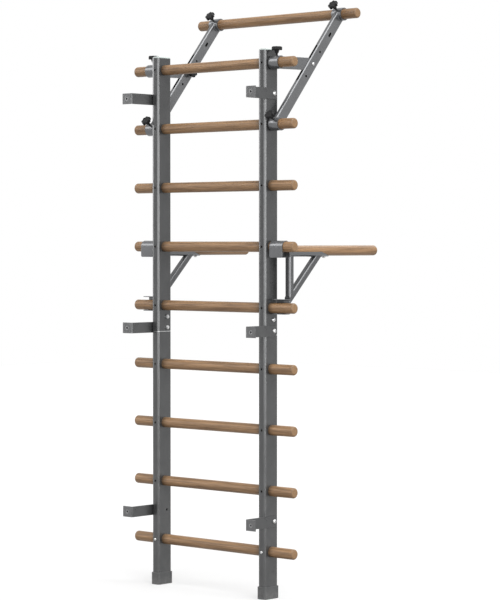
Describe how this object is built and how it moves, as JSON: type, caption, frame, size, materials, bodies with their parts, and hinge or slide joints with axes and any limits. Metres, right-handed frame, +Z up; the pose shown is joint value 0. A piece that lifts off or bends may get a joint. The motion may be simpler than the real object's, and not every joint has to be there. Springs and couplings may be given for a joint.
{
  "type": "wall bars",
  "caption": "Wall bars with round wooden rungs through split steel uprights, wall brackets, a clamp-on pull-up bar and hook-on dip handles.",
  "frame": {"origin": "on the floor, in the wall plane, midway between the two uprights", "axes": "+X along the rungs towards the right-hand upright as seen from the wall, looking into the room with the left hand at -X; +Y out of the wall into the room; +Z up"},
  "size_m": [0.8, 0.67, 2.1768],
  "materials": {
    "frame_steel": "satin grey powder coat",
    "bracket_steel": "satin silver-grey powder coat",
    "wood": "oiled hardwood",
    "zinc": "bright zinc plate",
    "knob_plastic": "fine-grained black",
    "cap_plastic": "pale moulded plastic",
    "foot_rubber": "dull grey"
  },
  "bodies": {
    "frame": {"rung_1": "wood", "rung_2": "wood", "rung_3": "wood", "rung_4": "wood", "rung_5": "wood", "rung_6": "wood", "rung_7": "wood", "rung_8": "wood", "rung_9": "wood", "upper_upright_left": "frame_steel", "lower_upright_left": "frame_steel", "splice_left": "zinc", "top_cap_left": "cap_plastic", "foot_left": "foot_rubber", "rung_screw_left": "zinc", "wall_bracket_left_top": "bracket_steel", "bracket_bolt_left_top": "zinc", "wall_bracket_left_middle": "bracket_steel", "bracket_bolt_left_middle": "zinc", "wall_bracket_left_bottom": "bracket_steel", "bracket_bolt_left_bottom": "zinc", "splice_bolt_left": "zinc", "splice_nut_left_upper": "zinc", "splice_nut_left_lower": "zinc", "pull_up_arm_left": "bracket_steel", "pull_up_link_left": "bracket_steel", "link_bolt_left": "zinc", "upper_upright_right": "frame_steel", "lower_upright_right": "frame_steel", "splice_right": "zinc", "top_cap_right": "cap_plastic", "foot_right": "foot_rubber", "rung_screw_right": "zinc", "wall_bracket_right_top": "bracket_steel", "bracket_bolt_right_top": "zinc", "wall_bracket_right_middle": "bracket_steel", "bracket_bolt_right_middle": "zinc", "wall_bracket_right_bottom": "bracket_steel", "bracket_bolt_right_bottom": "zinc", "splice_bolt_right": "zinc", "splice_nut_right_upper": "zinc", "splice_nut_right_lower": "zinc", "pull_up_arm_right": "bracket_steel", "pull_up_link_right": "bracket_steel", "link_bolt_right": "zinc", "pull_up_bar": "wood"},
    "dip_handle_left": {"dip_frame_left": "bracket_steel", "dip_bar_left": "wood", "dip_bolt_left": "zinc"},
    "dip_handle_right": {"dip_frame_right": "bracket_steel", "dip_bar_right": "wood", "dip_bolt_right": "zinc"},
    "arm_knob_left_body": {"arm_knob_left": "knob_plastic"},
    "bar_knob_left_body": {"bar_knob_left": "knob_plastic"},
    "link_knob_left_body": {"link_knob_left": "knob_plastic"},
    "link_sleeve_knob_left_body": {"link_sleeve_knob_left": "knob_plastic"},
    "arm_knob_right_body": {"arm_knob_right": "knob_plastic"},
    "bar_knob_right_body": {"bar_knob_right": "knob_plastic"},
    "link_knob_right_body": {"link_knob_right": "knob_plastic"},
    "link_sleeve_knob_right_body": {"link_sleeve_knob_right": "knob_plastic"}
  },
  "joints": [
    {"name": "dip_swing_left", "type": "hinge", "parent": "frame", "child": "dip_handle_left", "pos_m": [-0.3265, 0.14, 1.27], "axis": [1, 0, 0], "range_deg": [0, 45]},
    {"name": "dip_swing_right", "type": "hinge", "parent": "frame", "child": "dip_handle_right", "pos_m": [0.3265, 0.14, 1.27], "axis": [1, 0, 0], "range_deg": [0, 45]},
    {"name": "link_sleeve_knob_turn_left", "type": "hinge", "parent": "frame", "child": "link_sleeve_knob_left_body", "pos_m": [-0.3125, 0.14, 1.93], "axis": [0, 0, 1], "range_deg": [0, 720]},
    {"name": "arm_knob_turn_left", "type": "hinge", "parent": "frame", "child": "arm_knob_left_body", "pos_m": [-0.3125, 0.14, 1.71], "axis": [0, -0.7683, 0.6401], "range_deg": [0, 720]},
    {"name": "bar_knob_turn_left", "type": "hinge", "parent": "frame", "child": "bar_knob_left_body", "pos_m": [-0.3125, 0.48694, 2.12641], "axis": [0, -0.7683, 0.6401], "range_deg": [0, 720]},
    {"name": "link_knob_turn_left", "type": "hinge", "parent": "frame", "child": "link_knob_left_body", "pos_m": [-0.3035, 0.32691, 1.93434], "axis": [1, 0, 0], "range_deg": [0, 720]},
    {"name": "link_sleeve_knob_turn_right", "type": "hinge", "parent": "frame", "child": "link_sleeve_knob_right_body", "pos_m": [0.3125, 0.14, 1.93], "axis": [0, 0, 1], "range_deg": [0, 720]},
    {"name": "arm_knob_turn_right", "type": "hinge", "parent": "frame", "child": "arm_knob_right_body", "pos_m": [0.3125, 0.14, 1.71], "axis": [0, -0.7683, 0.6401], "range_deg": [0, 720]},
    {"name": "bar_knob_turn_right", "type": "hinge", "parent": "frame", "child": "bar_knob_right_body", "pos_m": [0.3125, 0.48694, 2.12641], "axis": [0, -0.7683, 0.6401], "range_deg": [0, 720]},
    {"name": "link_knob_turn_right", "type": "hinge", "parent": "frame", "child": "link_knob_right_body", "pos_m": [0.3035, 0.32691, 1.93434], "axis": [-1, 0, 0], "range_deg": [0, 720]}
  ]
}
